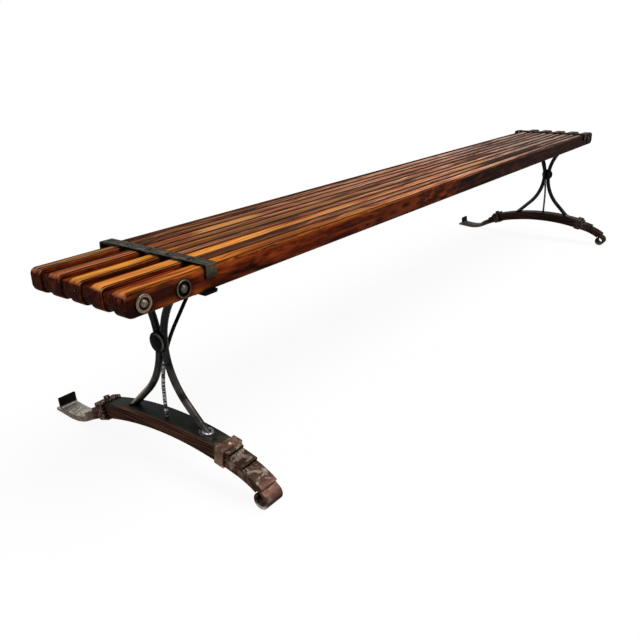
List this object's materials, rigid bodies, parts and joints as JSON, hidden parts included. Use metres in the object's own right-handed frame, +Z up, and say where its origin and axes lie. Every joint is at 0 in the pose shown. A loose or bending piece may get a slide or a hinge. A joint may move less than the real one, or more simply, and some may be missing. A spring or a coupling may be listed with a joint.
{
  "type": "slatted bench",
  "caption": "Long backless slatted hardwood bench held by iron straps on two feet made of upturned leaf-spring packs and bowed round bars.",
  "frame": {"origin": "on the floor, in the middle of the footprint", "axes": "+X along the bench from the near end to the far end, +Z up; the spring eyes are at the front, towards -Y"},
  "size_m": [2.58, 0.692, 0.4725],
  "materials": {
    "orange_wood": "varnished",
    "light_orange_wood": "varnished",
    "golden_wood": "varnished",
    "brown_wood": "varnished",
    "red_brown_wood": "varnished",
    "dark_red_wood": "varnished",
    "spring_steel": "rusty",
    "clip_steel": "rusty",
    "strap_iron": "dull",
    "rod_iron": "dull",
    "bolt_iron": "dull",
    "washer_steel": "dull"
  },
  "bodies": {
    "root": {"brace_screws": "washer_steel", "clip_bolts": "clip_steel", "clip_rivets": "clip_steel", "cross_rod_nuts": "washer_steel", "cross_rod_washers": "washer_steel", "cross_rods": "washer_steel", "far_back_clip": "clip_steel", "far_bottom_bar": "strap_iron", "far_bottom_leaf": "spring_steel", "far_brace_rod": "rod_iron", "far_end_filler_1": "dark_red_wood", "far_end_filler_2": "dark_red_wood", "far_end_filler_3": "dark_red_wood", "far_end_filler_4": "dark_red_wood", "far_front_clip": "clip_steel", "far_front_rod": "rod_iron", "far_hub_disc": "rod_iron", "far_master_leaf": "spring_steel", "far_rear_rod": "rod_iron", "far_second_leaf": "spring_steel", "far_third_leaf": "spring_steel", "far_top_leaf": "spring_steel", "far_top_strap": "strap_iron", "filler_strip_1": "dark_red_wood", "filler_strip_2": "dark_red_wood", "filler_strip_3": "dark_red_wood", "filler_strip_4": "dark_red_wood", "near_back_clip": "clip_steel", "near_bottom_bar": "strap_iron", "near_bottom_leaf": "spring_steel", "near_brace_rod": "rod_iron", "near_end_filler_1": "dark_red_wood", "near_end_filler_2": "dark_red_wood", "near_end_filler_3": "dark_red_wood", "near_end_filler_4": "dark_red_wood", "near_front_clip": "clip_steel", "near_front_rod": "rod_iron", "near_hub_disc": "rod_iron", "near_master_leaf": "spring_steel", "near_rear_rod": "rod_iron", "near_second_leaf": "spring_steel", "near_third_leaf": "spring_steel", "near_top_leaf": "spring_steel", "near_top_strap": "strap_iron", "rear_edge_strip": "red_brown_wood", "seat_board_1": "orange_wood", "seat_board_2": "light_orange_wood", "seat_board_3": "golden_wood", "seat_board_4": "brown_wood", "seat_board_5": "red_brown_wood", "strap_bolt_nuts": "bolt_iron", "strap_bolt_sleeves": "bolt_iron", "strap_bolts": "bolt_iron"}
  },
  "joints": []
}
